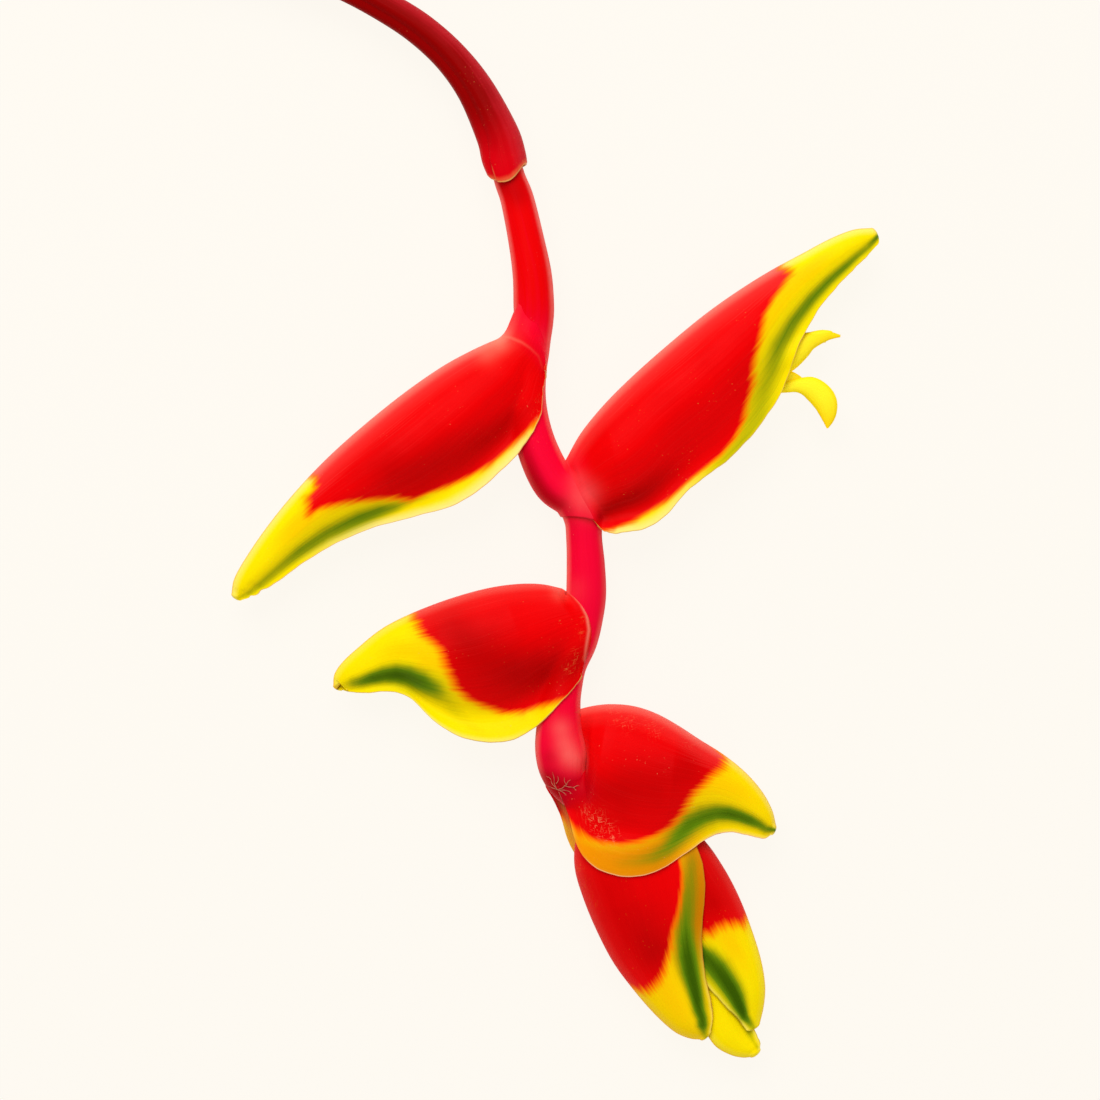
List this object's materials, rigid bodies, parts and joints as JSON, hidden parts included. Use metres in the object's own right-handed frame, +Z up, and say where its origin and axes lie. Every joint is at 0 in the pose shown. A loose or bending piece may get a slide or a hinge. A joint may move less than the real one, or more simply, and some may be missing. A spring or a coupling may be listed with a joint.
{
  "type": "lobster claw heliconia flower",
  "caption": "Cut hanging heliconia flower laid on its side, with folded red and yellow bracts along a zigzag stalk.",
  "frame": {"origin": "on the resting surface, under the middle of the flower's box", "axes": "+Y runs along the flower, from its tip towards the cut end of the stalk; +X is across it, towards the longest bract; +Z is up from the surface, across the flat of the zigzag"},
  "size_m": [0.1856, 0.2861, 0.0202],
  "materials": {
    "sheath": "satin, waxy, with a dry rim",
    "rachis": "satin, waxy",
    "bract_1": "waxy satin, red turning to yellow and green",
    "bract_2": "waxy satin, red turning to yellow and green",
    "bract_3": "waxy satin, red turning to yellow and green",
    "bract_4": "waxy satin, red turning to yellow and green",
    "bract_5": "waxy satin, red turning to yellow and green",
    "bract_6": "waxy satin, red turning to yellow and green",
    "bract_7": "waxy satin, yellow with a green line",
    "flower": "satin, thin and fleshy"
  },
  "bodies": {
    "root": {"sheath": "sheath", "rachis": "rachis", "bract_1": "bract_1", "bract_2": "bract_2", "bract_3": "bract_3", "bract_4": "bract_4", "bract_5": "bract_5", "bract_6": "bract_6", "bract_7": "bract_7", "flower": "flower"}
  },
  "joints": []
}
